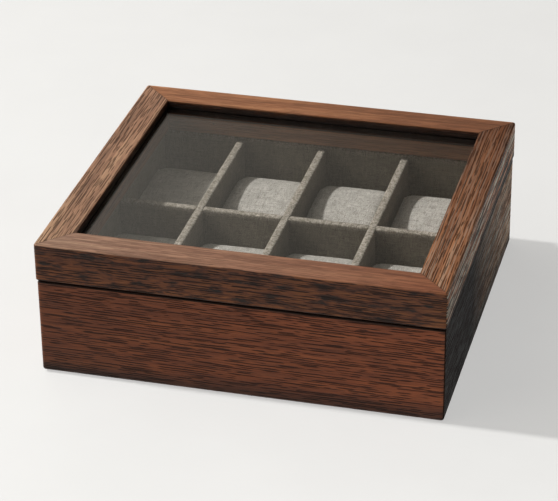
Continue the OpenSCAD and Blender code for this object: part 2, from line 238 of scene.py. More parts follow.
def oak(name, look):
    """Dark-stained, wire-brushed oak. The 'grain' attribute lays it out: x along the grain
    and y across it round the piece, in metres."""
    t = Tree(bpy.data.materials.new(name))
    place = t.vector("MULTIPLY", t.attribute("grain", "Vector"), (1000, 1000, 1000))
    grain = t.vector("ADD", place, (look.seed * 137.0, look.seed * 71.0, 0))
    side = t.attribute("flank")

    def stretched(vector, along, across, detail=2.0, roughness=0.5, output="Fac"):
        """Noise drawn out along the grain; along and across are its sizes in millimetres."""
        return t.noise(t.vector("MULTIPLY", vector, (1 / along, 1 / across, 1)), 1, detail, roughness, output)

    def vessel_rows(spacing, length, shift):
        """Rows of thin dark pores: each row lies along the grain and breaks up into dashes."""
        sway = stretched(t.vector("ADD", bent, (shift, 0, 0)), 80, 9, 1)
        across = t.split(bent)
        rows = t.plus(t.times(across[1], 1 / spacing), t.times(sway, 1.3))
        row = t.math("FLOOR", rows)
        offset = t.node("TexWhiteNoise", {"W": t.plus(row, shift)}, noise_dimensions="1D")
        centre = t.plus(0.28, t.times(offset.outputs["Value"], 0.44))
        away = t.math("ABSOLUTE", t.math("SUBTRACT", t.math("SUBTRACT", rows, row), centre))
        at = t.joined(t.times(across[0], 1 / length), t.times(row, 7.31), shift)
        gap = t.ramp(t.noise(at, 1, 1, 0.5), 0.42, 0.58, 0.30, 0.0)
        return t.ramp(t.plus(away, gap), 0.42 / spacing + 0.04, 0.22 / spacing - 0.02)

    wave = t.vector("SUBTRACT", stretched(grain, 60, 18, 1, 0.5, "Color"), (0.5, 0.5, 0.5))
    ripple = t.vector("SUBTRACT", stretched(grain, 12, 7, 1, 0.5, "Color"), (0.5, 0.5, 0.5))
    bend = t.vector("ADD", t.vector("MULTIPLY", wave, (0, 9 * look.waviness, 0)),
                    t.vector("MULTIPLY", ripple, (0, 2.4 * look.waviness, 0)))
    bent = t.vector("ADD", grain, bend)

    rings = stretched(bent, 160, 9, 2, 0.5)
    bands = stretched(bent, 90, 2.2, 3, 0.6)
    fibre = stretched(bent, 30, 0.55, 2, 0.6)
    pore = t.math("MAXIMUM", vessel_rows(2.5, 26, 31), vessel_rows(1.6, 15, 97))

    body = t.colors(rings, [(0.32, OAK_BROWN), (0.50, OAK_RED), (0.72, OAK_LIGHT)])
    body = t.mix(t.ramp(bands, 0.48, 0.72, 0.0, 0.55), body, OAK_LIGHT)
    body = t.mix(t.ramp(bands, 0.48, 0.28, 0.0, 0.55), body, OAK_BROWN)
    body = t.mix(t.ramp(fibre, 0.34, 0.54, 0.38, 0.0), body, OAK_DEEP)
    body = t.mix(t.ramp(fibre, 0.54, 0.70, 0.0, 0.50), body, OAK_LIGHT)

    # Rubbed orange streaks and black patches of stain
    patch = stretched(bent, 18, 4.5, 3, 0.65)
    orange = t.times(t.ramp(patch, 0.56, 0.42), t.ramp(fibre, 0.40, 0.60))
    orange = t.times(orange, side)
    body = t.mix(t.times(orange, 0.70 * look.distress), body, OAK_ORANGE)
    black = t.times(t.ramp(patch, 0.50, 0.66), t.ramp(fibre, 0.20, 0.50))
    black = t.times(black, side)
    body = t.mix(t.times(black, min(1.0, 1.5 * look.distress)), body, OAK_BLACK)
    # Painted reflection: grey streaks along the grain, with black between, stand in for the grey sheen on the
    # shaded sides
    if look.grey:
        sheen_streaks = t.mix(side, stretched(bent, 110, 1.2, 2, 0.6), stretched(bent, 120, 3.0, 2, 0.6))
        sheen_amount = t.ramp(side, 0.0, 1.0, 0.25 * look.grey, look.grey, smooth=False)
        body = t.mix(t.times(t.ramp(sheen_streaks, 0.49, 0.56), sheen_amount), body, OAK_SHEEN_GREY)
        body = t.mix(t.times(t.ramp(sheen_streaks, 0.48, 0.42), sheen_amount), body, OAK_BLACK)

    # Painted light and shade: the tone changes from one end of the piece to the other, and upper faces take
    # their own, lighter tone
    far = t.ramp(t.split(place)[0], *look.painted_light_span, smooth=False)
    upper, lower = (t.mix(far, *pair) for pair in (look.top, look.side))
    body = t.mix(1.0, body, t.mix(side, upper, lower), "MULTIPLY")

    # Edges are rubbed lighter; the foot and the mitres are darker. The 'shade' attribute also carries painted
    # shade beside the shadow gap and on the inner faces above the glass, and the bead's black band
    worn = t.times(t.attribute("worn"), t.ramp(fibre, 0.35, 0.60))
    worn = t.times(worn, t.ramp(patch, 0.62, 0.40))
    body = t.mix(t.times(worn, 0.6), body, OAK_ORANGE)
    depth = t.ramp(side, 0.0, 1.0, *look.pores, smooth=False)
    body = t.mix(t.times(pore, depth), body, OAK_DEEP)
    body = t.mix(t.attribute("shade"), body, OAK_JOINT_AND_SHADE)

    rough = t.math("ADD", t.ramp(bands, 0.2, 0.8, 0.52, 0.42), t.times(pore, 0.3), clamp=True)
    height = t.math("SUBTRACT", t.times(fibre, 0.35), pore)
    height = t.plus(height, t.times(bands, 0.4))
    normal = t.bump(height, 0.0004, 0.8)
    return t.finish(t.principled(body, rough, normal, Specular_IOR_Level=look.gloss, IOR=1.5))


def plain_wood(name, color, seed):
    """Sawn board stained in one coat, for faces that hardly show."""
    t = Tree(bpy.data.materials.new(name))
    grain = t.in_mm((seed * 31.0, seed * 17.0, 0))
    bands = t.speckle(grain, (70, 2.0, 2.0), 4)
    fibre = t.speckle(grain, (9, 0.4, 0.4), 2)
    body = t.mix(t.ramp(bands, 0.3, 0.7), [c * 0.62 for c in color], [c * 1.25 for c in color])
    body = t.mix(t.ramp(fibre, 0.35, 0.6, 0.35, 0.0), body, [c * 0.35 for c in color])
    height = t.plus(bands, t.times(fibre, 0.5))
    return t.finish(t.principled(body, t.ramp(fibre, 0.2, 0.8, 0.72, 0.56), t.bump(height, 0.0003, 0.7)))


# ---------- cloth ----------

LINEN_LIGHT = (0.72, 0.685, 0.640)
LINEN_MID = (0.500, 0.470, 0.430)
LINEN_DARK = (0.215, 0.198, 0.176)
THREAD = 0.80 * MM
# The boards' linen is painted darker than the pillows' linen, as painted shade inside the box
BOARD_SHADED_TINT = (0.40, 0.37, 0.325)
PILLOW_TINT = (1.06, 1.06, 1.10)
# How much paler the upper edges of the boards are painted than the cloth, as painted highlight where the
# light falls on their tops, broken into tufts
EDGE_HIGHLIGHT_TONE = (2.42, 2.47, 2.75)


def linen(name, seed, tint):
    """Heathered linen: two crossing sets of uneven threads, laid out by the piece's own
    'weave' attribute, which holds the distance along the cloth in metres."""
    t = Tree(bpy.data.materials.new(name))
    u, v = (t.times(axis, 1 / THREAD) for axis in t.split(t.attribute("weave", "Vector"))[:2])

    def threads(across, along, shift):
        """Brightness and height of one set of threads."""
        made = t.joined(t.math("FLOOR", across), t.times(along, 0.13), shift)
        slub = t.noise(t.vector("MULTIPLY", made, (7.13, 1, 1)), 1, 2, 0.6)
        half = t.times(across, math.pi)
        return slub, t.math("ABSOLUTE", t.math("SINE", half))

    warp, warp_round = threads(u, v, seed * 3.7)
    weft, weft_round = threads(v, u, seed * 5.3 + 11)
    # Over and under: each thread shows on alternate crossings
    checker = t.times(t.math("SINE", t.times(u, math.pi)),
                     t.math("SINE", t.times(v, math.pi)))
    over = t.ramp(checker, -0.45, 0.45)
    value = t.plus(t.times(warp, over),
                   t.times(weft, t.math("SUBTRACT", 1.0, over)))
    tone = t.colors(value, [(0.28, LINEN_DARK), (0.48, LINEN_MID), (0.68, LINEN_LIGHT)])
    place = t.in_mm((seed * 19.0, seed * 7.0, 0))
    cloud = t.speckle(place, 9, 3)
    tone = t.mix(t.ramp(cloud, 0.3, 0.7, 0.28, 0.0), tone, LINEN_DARK)
    fleck = t.speckle(place, 0.9, 2)
    tone = t.mix(t.ramp(fleck, 0.57, 0.68, 0.0, 0.6), tone, LINEN_LIGHT)
    tone = t.mix(t.ramp(fleck, 0.43, 0.32, 0.0, 0.6), tone, LINEN_DARK)
    # Upper edges are painted paler in tufts, as painted highlight where the light falls on them
    nap = t.attribute("nap")
    tuft = t.speckle(place, 1.5, 2)
    pale = t.mix(t.ramp(tuft, 0.38, 0.60), [c * 1.10 for c in tint], [c * n for c, n in zip(tint, EDGE_HIGHLIGHT_TONE)])
    tone = t.mix(1.0, tone, t.mix(nap, tint, pale), "MULTIPLY")
    crown = t.plus(t.times(warp_round, over),
                   t.times(weft_round, t.math("SUBTRACT", 1.0, over)))
    height = t.plus(crown, t.times(fleck, 0.6))
    normal = t.bump(height, 0.00022, 0.8)
    return t.finish(t.principled(tone, t.ramp(value, 0.3, 0.7, 0.95, 0.82), normal,
                                 Specular_IOR_Level=0.18, Sheen_Weight=0.18, Sheen_Roughness=0.45))


def felt_cloth():
    t = Tree(bpy.data.materials.new("felt_cloth"))
    place = t.in_mm()
    nap = t.speckle(place, 0.5, 4, 0.7)
    cloud = t.speckle(place, 18, 3)
    body = t.mix(t.ramp(nap, 0.3, 0.7), (0.016, 0.014, 0.013), (0.055, 0.050, 0.045))
    body = t.mix(t.ramp(cloud, 0.4, 0.7, 0.0, 0.4), body, (0.075, 0.067, 0.060))
    return t.finish(t.principled(body, 0.95, t.bump(nap, 0.0004, 1.0), Specular_IOR_Level=0.1,
                                 Sheen_Weight=0.3, Sheen_Roughness=0.5))


# ---------- other materials ----------

def glass_pane():
    """Clear float glass that lets lamps and scattered light straight through."""
    t = Tree(bpy.data.materials.new("glass_pane"))
    smear = t.noise(t.mapping(t.place(), (28, 28, 28)), 1, 3, 0.5)
    wavy = t.bump(smear, 0.00001, 0.15)
    clear = t.principled((0.968, 0.970, 0.962), 0.0, wavy, Transmission_Weight=1.0, IOR=1.5,
                         Specular_IOR_Level=0.5)
    open_way = t.node("BsdfTransparent")
    open_way.inputs[0].default_value = (0.945, 0.952, 0.94, 1)
    path = t.node("LightPath")
    through = open_way.outputs[0]
    bounced = t.node("MixShader", {0: path.outputs["Is Diffuse Ray"], 1: clear, 2: through}).outputs[0]
    lit = t.node("MixShader", {0: path.outputs["Is Shadow Ray"], 1: bounced, 2: through})
    return t.finish(lit.outputs[0])


def metal(name, color, dark, along_x=True):
    """Brushed metal with fine lines, dull patches and darker marks."""
    t = Tree(bpy.data.materials.new(name))
    place = t.in_mm()
    brushed = t.speckle(place, (6, 0.12, 0.12) if along_x else (0.12, 6, 0.12), 3)
    cloud = t.speckle(place, 3.5, 4, 0.65)
    body = t.mix(t.ramp(cloud, 0.42, 0.70), color, dark)
    rough = t.plus(t.ramp(brushed, 0.2, 0.8, 0.22, 0.38), t.ramp(cloud, 0.4, 0.75, 0.0, 0.18))
    return t.finish(t.principled(body, rough, t.bump(brushed, 0.00004, 0.6), Metallic=1.0))


def rubber():
    t = Tree(bpy.data.materials.new("bumper_rubber"))
    place = t.in_mm()
    dust = t.speckle(place, 0.8, 3)
    body = t.mix(t.ramp(dust, 0.4, 0.7), (0.50, 0.50, 0.48), (0.62, 0.61, 0.58))
    return t.finish(t.principled(body, t.ramp(dust, 0.3, 0.7, 0.35, 0.5), t.bump(dust, 0.00005, 0.5)))


def pressed_board():
    t = Tree(bpy.data.materials.new("pressed_board"))
    place = t.in_mm()
    pulp = t.speckle(place, 0.7, 4, 0.7)
    body = t.mix(t.ramp(pulp, 0.35, 0.68), (0.30, 0.27, 0.22), (0.46, 0.42, 0.36))
    return t.finish(t.principled(body, 0.88, t.bump(pulp, 0.0002, 0.8), Specular_IOR_Level=0.2))


# Size of the foam's cells in millimetres
FOAM_CELL = 0.8


def foam():
    t = Tree(bpy.data.materials.new("foam"))
    place = t.in_mm()
    inputs = {"Vector": t.vector("MULTIPLY", place, (1 / FOAM_CELL,) * 3), "Scale": 1.0}
    cells = t.node("TexVoronoi", inputs, feature="F1")
    hole = t.ramp(cells.outputs["Distance"], 0.1, 0.5)
    body = t.mix(hole, (0.55, 0.53, 0.47), (0.85, 0.83, 0.77))
    return t.finish(t.principled(body, 0.9, t.bump(hole, 0.0004, 1.0), Specular_IOR_Level=0.2))


# ---------- mesh helpers ----------

def new_piece(name, vertices, faces, smooth=True):
    mesh = bpy.data.meshes.new(name)
    mesh.from_pydata([tuple(v) for v in vertices], [], faces)
    mesh.validate()
    mesh.update()
    if smooth:
        mesh.shade_smooth()
    piece = bpy.data.objects.new(name, mesh)
    bpy.context.scene.collection.objects.link(piece)
    return piece


def outward_normals(piece):
    work = bmesh.new()
    work.from_mesh(piece.data)
    bmesh.ops.recalc_face_normals(work, faces=work.faces)
    work.to_mesh(piece.data)
    work.free()


def put_attribute(piece, name, values, kind="FLOAT"):
    attribute = piece.data.attributes.new(name, kind, "POINT")
    if kind == "FLOAT":
        attribute.data.foreach_set("value", values)
    else:
        attribute.data.foreach_set("vector", [c for v in values for c in v])


def keep_inside(point, low, high):
    """Moves the point back into the box."""
    for axis in range(3):
        point[axis] = min(max(point[axis], low[axis]), high[axis])


def spread(low, high, steps):
    return [low + (high - low) * i / steps for i in range(steps + 1)]


def arc(centre, radius, start, end, steps):
    """Points of an arc; angles in degrees."""
    return [
        (centre[0] + radius * math.cos(math.radians(a)), centre[1] + radius * math.sin(math.radians(a)))
        for a in spread(start, end, steps)
    ]


# ---------- mitred wood ----------

class Strip:
    """A mitred wooden strip. Its section is a closed outline of (depth, height) points, with
    depth from the outer face inwards and height above its foot."""

    def __init__(self, side, width, depth, foot, section, corner, wear, low_wear=0.0, low_shade=0.0,
                 black_band_from=None, seam_top=0.0, seam_foot=-1.0, inner=None):
        self.side = side
        self.length = width if side in (0, 2) else depth
        self.across = depth if side in (0, 2) else width
        self.foot = foot
        self.section = section
        self.corner = corner
        self.wear = wear
        # Heights of the rubbed band and of the darkened band above the foot, or none
        self.low_wear = low_wear
        self.low_shade = low_shade
        # Height where the bead's black band under the glass starts, or None
        self.black_band_from = black_band_from
        # How far the painted shade beside the shadow gap reaches from the top and from the foot
        self.seam_top = seam_top
        self.seam_foot = seam_foot
        # Depth and height where the painted shade on the inner face above the glass starts, or None
        self.inner_from, self.inner_low = inner or (None, None)


def strip_rows(strip):
    """For each section point, its places along the strip, corner arcs included."""
    half = strip.length / 2
    r = strip.corner
    arc_steps = 5
    straight_steps = round(strip.length / STRIP_STEP)
    rows = []
    for depth, height in strip.section:
        if depth < r:
            radius = r - depth
            end = half - r
            turn = [
                (end + radius * math.sin(a), r - radius * math.cos(a))
                for a in spread(0, math.pi / 4, arc_steps)[1:]
            ]
        else:
            end = half - depth - 0.5 * MM
            turn = [(x, depth) for x in spread(end, half - depth, arc_steps)[1:]]
        middle = [(x, depth) for x in spread(-end, end, straight_steps)]
        row = [(-x, y) for x, y in reversed(turn)] + middle + turn
        rows.append([(x, y, height) for x, y in row])
    return rows


def strip_piece(name, strip, seed, edges):
    """Builds a mitred strip. edges lists the (depth, height) of its long rubbed edges."""
    rows = strip_rows(strip)
    count, across = len(rows[0]), len(rows)
    shift = Vector((seed * 3.1, seed * 1.7, seed * 0.9))
    turn = Matrix.Rotation(math.radians(90) * strip.side, 3, "Z")
    middle_y = sum(d for d, h in strip.section) / across
    middle_z = sum(h for d, h in strip.section) / across
    tall = max(h for d, h in strip.section)
    vertices, grain, worn, shade, flank = [], [], [], [], []
    run = 0.0
    for index, row in enumerate(rows):
        depth, height = strip.section[index]
        if index:
            run += math.dist(strip.section[index], strip.section[index - 1])
        near = min(math.dist((depth, height), edge) for edge in edges)
        rub = math.exp(-(near / (1.2 * MM)) ** 2)
        on_flank = 1.0 if height < tall - 0.9 * MM else 0.0
        low_band = low_dark = painted_shade = 0.0
        # Painted shade: beside the shadow gap, and on the rail's inner face above the glass, darkest next to
        # the glass
        if depth < 1.6 * MM and (height > tall - strip.seam_top or height < strip.seam_foot):
            painted_shade = SEAM_SHADE
        if strip.inner_from is not None and depth > strip.inner_from:
            painted_shade = 0.25 + 0.72 * (1 - (height - strip.inner_low) / (tall - strip.inner_low))
            if height > tall - 0.7 * MM:
                painted_shade = 0.0
        if depth < 3 * MM and strip.low_wear:
            low_band = math.exp(-(height / strip.low_wear) ** 2)
        if depth < 3 * MM and strip.low_shade:
            low_dark = FOOT_SHADE * math.exp(-(height / strip.low_shade) ** 2)
        for x, y, z in row:
            end = strip.length / 2 - abs(x)
            corner_rub = math.exp(-(end / (1.8 * MM)) ** 2) * math.exp(-(y / (1.8 * MM)) ** 2)
            point = Vector((x, y, z))
            dent = 0.5 + 0.5 * noise.noise(point * 160 + shift)
            dent *= 0.5 + 0.5 * noise.noise(point * 620 + shift)
            inward = Vector((0, middle_y - y, middle_z - z)).normalized()
            point += inward * strip.wear * max(rub, corner_rub) * dent
            point.y -= strip.across / 2
            vertices.append(turn @ point + Vector((0, 0, strip.foot)))
            grain.append((x, run, 0))
            patchy = 0.5 + 0.9 * noise.noise(Vector((x * 28, z * 60, seed * 4.0)))
            worn.append(min(1.0, max(rub, corner_rub) * (0.35 + 0.65 * dent) + low_band * max(0.0, patchy)))
            mitre = math.exp(-((end - y) / (0.35 * MM)) ** 2)
            black_banded = 0.99 if strip.black_band_from is not None and height > strip.black_band_from else 0.0
            shade.append(max(black_banded, painted_shade, min(1.0, 0.5 * mitre + low_dark)))
            flank.append(on_flank)
    faces = []
    for i in range(across):
        j = (i + 1) % across
        for k in range(count - 1):
            a, b = i * count + k, j * count + k
            faces.append((a, b, b + 1, a + 1))
    faces.append([i * count for i in range(across)])
    faces.append([i * count + count - 1 for i in reversed(range(across))])
    piece = new_piece(name, vertices, faces)
    outward_normals(piece)
    put_attribute(piece, "grain", grain, "FLOAT_VECTOR")
    put_attribute(piece, "worn", worn)
    put_attribute(piece, "shade", shade)
    put_attribute(piece, "flank", flank)
    crisp(piece, 35)
    return piece


def crisp(piece, degrees):
    """Smooth shading, with a hard edge wherever two faces meet at more than this angle."""
    limit = math.radians(degrees)
    work = bmesh.new()
    work.from_mesh(piece.data)
    for edge in work.edges:
        if len(edge.link_faces) == 2 and edge.calc_face_angle(0) > limit:
            edge.smooth = False
    work.to_mesh(piece.data)
    work.free()


def cut_boxes(piece, boxes):
    """Cuts rectangular recesses out of a piece."""
    for low, high in boxes:
        bpy.ops.mesh.primitive_cube_add(size=1, location=(low + high) / 2)
        cutter = bpy.context.object
        cutter.scale = high - low
        modifier = piece.modifiers.new("recess", "BOOLEAN")
        modifier.object = cutter
        modifier.operation = "DIFFERENCE"
        modifier.solver = "EXACT"
        bpy.context.view_layer.objects.active = piece
        bpy.context.view_layer.update()
        with bpy.context.temp_override(object=piece, active_object=piece):
            bpy.ops.object.modifier_apply(modifier="recess")
        bpy.data.objects.remove(cutter)


def hinge_recesses(leaf_kind, low_z, high_z):
    """The recess round each hinge leaf of one kind, between two heights and out past the back."""
    boxes = []
    for hand in ("left", "right"):
        low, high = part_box(f"hinge_{hand}_{leaf_kind}_leaf")
        start = Vector((low.x - RECESS_FIT, low.y, low_z))
        boxes.append((start, Vector((high.x + RECESS_FIT, high.y + 20 * MM, high_z))))
    return boxes


# How much darker the foot is, and how dark the painted shade beside the shadow gap is
FOOT_SHADE = 0.80
SEAM_SHADE = 0.93
EDGE_R = 1.2 * MM
FOOT_R = 2.2 * MM
CORNER_R = 2.0 * MM
STRIP_STEP = 2.5 * MM
# Depth of the black band along the top of the bead, under the glass
BLACK_BAND = 5.4 * MM
# Depth of the hinge recesses, the gap beside a leaf, and how far a cutter reaches past the wood
RECESS_DEPTH = 0.95 * MM
RECESS_FIT = 0.1 * MM
CUT_PAST = 10 * MM
WEAR = {"base": 0.22 * MM, "lid": 0.20 * MM}
# How far the painted shade beside the shadow gap reaches; it reaches further on the right side, which lies in
# shade
SEAM_SHADE_REACH = {"front": 0.9 * MM, "right": 2.8 * MM, "back": 0.9 * MM, "left": 0.9 * MM}


def base_section():
    """Base panel: a rebate at the inner foot takes the bottom panel."""
    low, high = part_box("base_front_panel")
    bottom_low, bottom_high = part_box("base_bottom_panel")
    rebate = bottom_high.z - bottom_low.z
    thickness = high.y - low.y
    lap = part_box("base_bottom_panel")[0].y - low.y
    height = high.z - low.z
    outline = rounded_outline(thickness, height, FOOT_R, EDGE_R, 0.6 * MM)
    return [(lap, 0), (lap, rebate), (thickness, rebate)] + outline


def lid_section():
    """Lid rail: the glass and its bead sit in the rabbet at the inner foot."""
    low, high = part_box("lid_front_rail")
    glass_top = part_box("lid_glass")[1].z
    bead_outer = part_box("glass_bead_front")[0].y
    width, height = high.y - low.y, high.z - low.z
    lap = bead_outer - low.y
    outline = rounded_outline(width, height, EDGE_R, EDGE_R, 0.9 * MM)
    return [(lap, 0), (lap, glass_top - low.z), (width, glass_top - low.z)] + outline


def bead_section():
    low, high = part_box("glass_bead_front")
    width, height = high.y - low.y, high.z - low.z
    r = 0.9 * MM
    outline = [(0, height), (0, 0)]
    outline += [(width - r, 0)] + arc((width - r, r), r, -90, 0, 4)[1:]
    black_band_from = height - BLACK_BAND
    outline += [(width, black_band_from - 0.05 * MM), (width, black_band_from + 0.05 * MM), (width, height)]
    return outline


def rounded_outline(thickness, height, foot_r, top_r, inner_r):
    """From the inner top edge over the top, down the outer face and round its foot."""
    outline = arc((thickness - inner_r, height - inner_r), inner_r, 0, 90, 4)
    outline += arc((top_r, height - top_r), top_r, 90, 180, 5)
    outline += arc((foot_r, foot_r), foot_r, 180, 270, 5)
    return outline


def graded(outline):
    """Adds points along the long sides of an outline, close together near its corners."""
    near = (0.5 * MM, 1.2 * MM, 2.2 * MM, 4.0 * MM)
    out = []
    for (x0, y0), (x1, y1) in zip(outline, outline[1:] + outline[:1]):
        length = math.hypot(x1 - x0, y1 - y0)
        stops = [0.0]
        if length > 9 * MM:
            stops += near
            middle = length - 2 * near[-1]
            steps = math.ceil(middle / (5 * MM))
            stops += [near[-1] + middle * i / steps for i in range(1, steps)]
            stops += [length - n for n in reversed(near)]
        elif length > 2.5 * MM:
            steps = math.ceil(length / (1.6 * MM))
            stops += [length * i / steps for i in range(1, steps)]
        out += [(x0 + (x1 - x0) * s / length, y0 + (y1 - y0) * s / length) for s in stops]
    return out


BEAD_TONE = ((1.2, 1.7, 1.9),) * 2


def build_wood():
    """The base panels, lid rails and glazing beads, each with its own oak."""
    base_low, base_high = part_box("base_front_panel")
    base_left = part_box("base_left_panel")[0]
    lid_low, lid_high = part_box("lid_front_rail")
    lid_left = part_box("lid_left_rail")[0]
    bead_low, bead_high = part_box("glass_bead_front")
    base_size = (-2 * base_left.x, -2 * base_low.y, base_low.z)
    lid_size = (-2 * lid_left.x, -2 * lid_low.y, lid_low.z)
    bead_size = (-2 * bead_low.x, -2 * bead_low.y, bead_low.z)
    base_shape, lid_shape, bead_shape = (graded(s) for s in (base_section(), lid_section(), bead_section()))
    base_thick, base_tall = base_high.y - base_low.y, base_high.z - base_low.z
    lid_wide, lid_tall = lid_high.y - lid_low.y, lid_high.z - lid_low.z
    base_edges = [(0, 0), (0, base_tall), (base_thick, base_tall)]
    lid_edges = [(0, 0), (0, lid_tall), (lid_wide, lid_tall)]

    # Painted shade and reflection: the right panel's tone runs from near black at its front end to grey at
    # its back end
    base_looks = {
        "front": Oak(1, even(1), ((0.80, 0.65, 0.43), (1.28, 1.04, 0.75)), waviness=0.14, distress=0.12),
        "right": Oak(2, even(1), ((0.015, 0.013, 0.010), (2.40, 3.80, 4.40)), waviness=0.12, grey=0.5,
                     gloss=0.02, painted_light_span=(-30, 120)),
        "back": Oak(3, even(1), even(0.9), waviness=0.2, distress=0.15),
        "left": Oak(4, even(1), even(0.9), waviness=0.2, distress=0.15),
    }
    # Painted sheen: the upper faces' tones are lighter and greyer than the sides', most towards the left; the
    # right rail's sides are painted grey as reflection
    lid_looks = {
        "front": Oak(5, ((1.72, 3.20, 4.9), (1.18, 1.38, 1.56)), ((0.54, 0.47, 0.33), (0.60, 0.58, 0.50)),
                     waviness=0.40, distress=0.95, pores=(0.25, 0.95)),
        "right": Oak(6, ((1.58, 2.18, 2.42), (0.66, 0.78, 0.86)), ((1.90, 2.25, 2.30), (2.75, 3.25, 3.30)),
                     waviness=0.12, distress=0.35, grey=1.0, pores=(0.65, 0.95), gloss=0.05),
        "back": Oak(7, ((1.06, 1.36, 1.50), (1.95, 2.70, 2.95)), even(0.7), waviness=0.25, distress=0.2,
                    pores=(0.15, 0.8)),
        "left": Oak(8, ((1.82, 3.10, 4.25), (1.80, 3.25, 4.50)), even(0.7), waviness=0.18, distress=0.2,
                    pores=(0.65, 0.8)),
    }
    for index, side in enumerate(SIDES):
        seam = SEAM_SHADE_REACH[side]
        base_strip = Strip(index, *base_size, base_shape, CORNER_R, WEAR["base"], low_shade=9 * MM,
                           seam_top=seam)
        panel = strip_piece(f"{side}_panel_oak", base_strip, 11 + index, base_edges)
        if side == "back":
            cut_boxes(panel, hinge_recesses("base", base_high.z - RECESS_DEPTH, base_high.z + CUT_PAST))
        place_piece(panel, "base", [f"base_{side}_panel"],
                    oak(f"oak_base_{side}", base_looks[side]))
        lid_strip = Strip(index, *lid_size, lid_shape, CORNER_R, WEAR["lid"], low_wear=7 * MM,
                          seam_foot=seam, inner=(lid_wide - 0.5 * MM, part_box("lid_glass")[1].z - lid_low.z))
        rail = strip_piece(f"{side}_rail_oak", lid_strip, 21 + index, lid_edges)
        if side == "back":
            cut_boxes(rail, hinge_recesses("lid", lid_low.z - CUT_PAST, lid_low.z + RECESS_DEPTH))
        place_piece(rail, "lid", [f"lid_{side}_rail"], oak(f"oak_lid_{side}", lid_looks[side]))
        bead_strip = Strip(index, *bead_size, bead_shape, 0.0, 0.0, black_band_from=bead_high.z - bead_low.z - BLACK_BAND)
        bead = strip_piece(f"{side}_bead_oak", bead_strip, 31 + index, [(6.5 * MM, 0)])
        place_piece(bead, "lid", [f"glass_bead_{side}"],
                    oak(f"oak_bead_{side}", Oak(31 + index, even(1), BEAD_TONE, 0.2, 0.0, pores=(0.3, 0.3))))


def place_piece(piece, body, nodes, material):
    assign(piece, material)
    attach(piece, body)
    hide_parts(*nodes)


# ---------- linen boards ----------

DIVIDER_R = 1.2 * MM


def rounded_box(low, high, radius, step):
    """Vertices and faces of a box with every edge rounded, on an even grid."""
    size = high - low
    stops = []
    for axis in range(3):
        r = min(radius, size[axis] / 2)
        inner = size[axis] - 2 * r
        steps = max(1, math.ceil(inner / step))
        ends = [low[axis] + r * (1 - math.cos(a)) for a in spread(0, math.pi / 2, 3)]
        middle = spread(low[axis] + r, high[axis] - r, steps)[1:-1] if inner > 1e-6 else []
        far = [high[axis] - r * (1 - math.cos(a)) for a in reversed(spread(0, math.pi / 2, 3))]
        line = ends + middle + far
        clean = [line[0]]
        for value in line[1:]:
            if value - clean[-1] > 1e-6:
                clean.append(value)
        stops.append(clean)
    index, vertices, faces = {}, [], []

    def corner(i, j, k):
        key = (i, j, k)
        if key not in index:
            index[key] = len(vertices)
            point = Vector((stops[0][i], stops[1][j], stops[2][k]))
            core = Vector([
                min(max(point[a], low[a] + min(radius, size[a] / 2)), high[a] - min(radius, size[a] / 2))
                for a in range(3)
            ])
            out = point - core
            if out.length > 1e-9:
                point = core + out.normalized() * min(radius, min(size) / 2)
            vertices.append(point)
        return index[key]

    count = [len(s) - 1 for s in stops]
    for a in range(3):
        b, c = (a + 1) % 3, (a + 2) % 3
        for end in (0, count[a]):
            for m in range(count[b]):
                for n in range(count[c]):
                    quad = []
                    for dm, dn in ((0, 0), (1, 0), (1, 1), (0, 1)):
                        where = [0, 0, 0]
                        where[a], where[b], where[c] = end, m + dm, n + dn
                        quad.append(corner(*where))
                    if end == 0:
                        quad.reverse()
                    faces.append(quad)
    return vertices, faces


def linen_board(name, low, high, radius, seed, step=4 * MM, slack=0.18 * MM, pinch=()):
    """A board wrapped in linen. Its cloth runs along the board, up one face and over the top."""
    vertices, faces = rounded_box(low, high, radius, step)
    size = high - low
    thin = min(range(3), key=lambda a: size[a])
    flat = thin == 2
    along = 0 if (thin == 1 or flat) else 1
    shift = Vector((seed * 2.3, seed * 1.1, seed * 0.7))
    points, weave, nap = [], [], []
    centre = (low + high) / 2
    for point in vertices:
        across = point[thin] - low[thin]
        if flat:
            cloth = (point.x, point.y, 0)
        else:
            over = across
            if across > size[thin] / 2:
                over += high.z - point.z
                cloth = (point[along], high.z + over, 0)
            else:
                cloth = (point[along], point.z + over, 0)
        # The 'nap' value marks the upper edge, which the linen paints paler as painted highlight
        nap.append(0.0 if flat else math.exp(-((high.z - point.z) / (1.3 * MM)) ** 2))
        bulge = slack * (0.5 + 0.5 * noise.noise(point * 55 + shift))
        for spot in pinch:
            bulge += 0.35 * MM * math.exp(-((point[along] - spot) / (2.5 * MM)) ** 2)
        moved = point.copy()
        direction = 1 if point[thin] > centre[thin] else -1
        moved[thin] -= direction * min(bulge, size[thin] / 4)
        points.append(moved)
        weave.append(cloth)
    piece = new_piece(name, points, faces)
    outward_normals(piece)
    put_attribute(piece, "weave", weave, "FLOAT_VECTOR")
    put_attribute(piece, "nap", nap)
    return piece


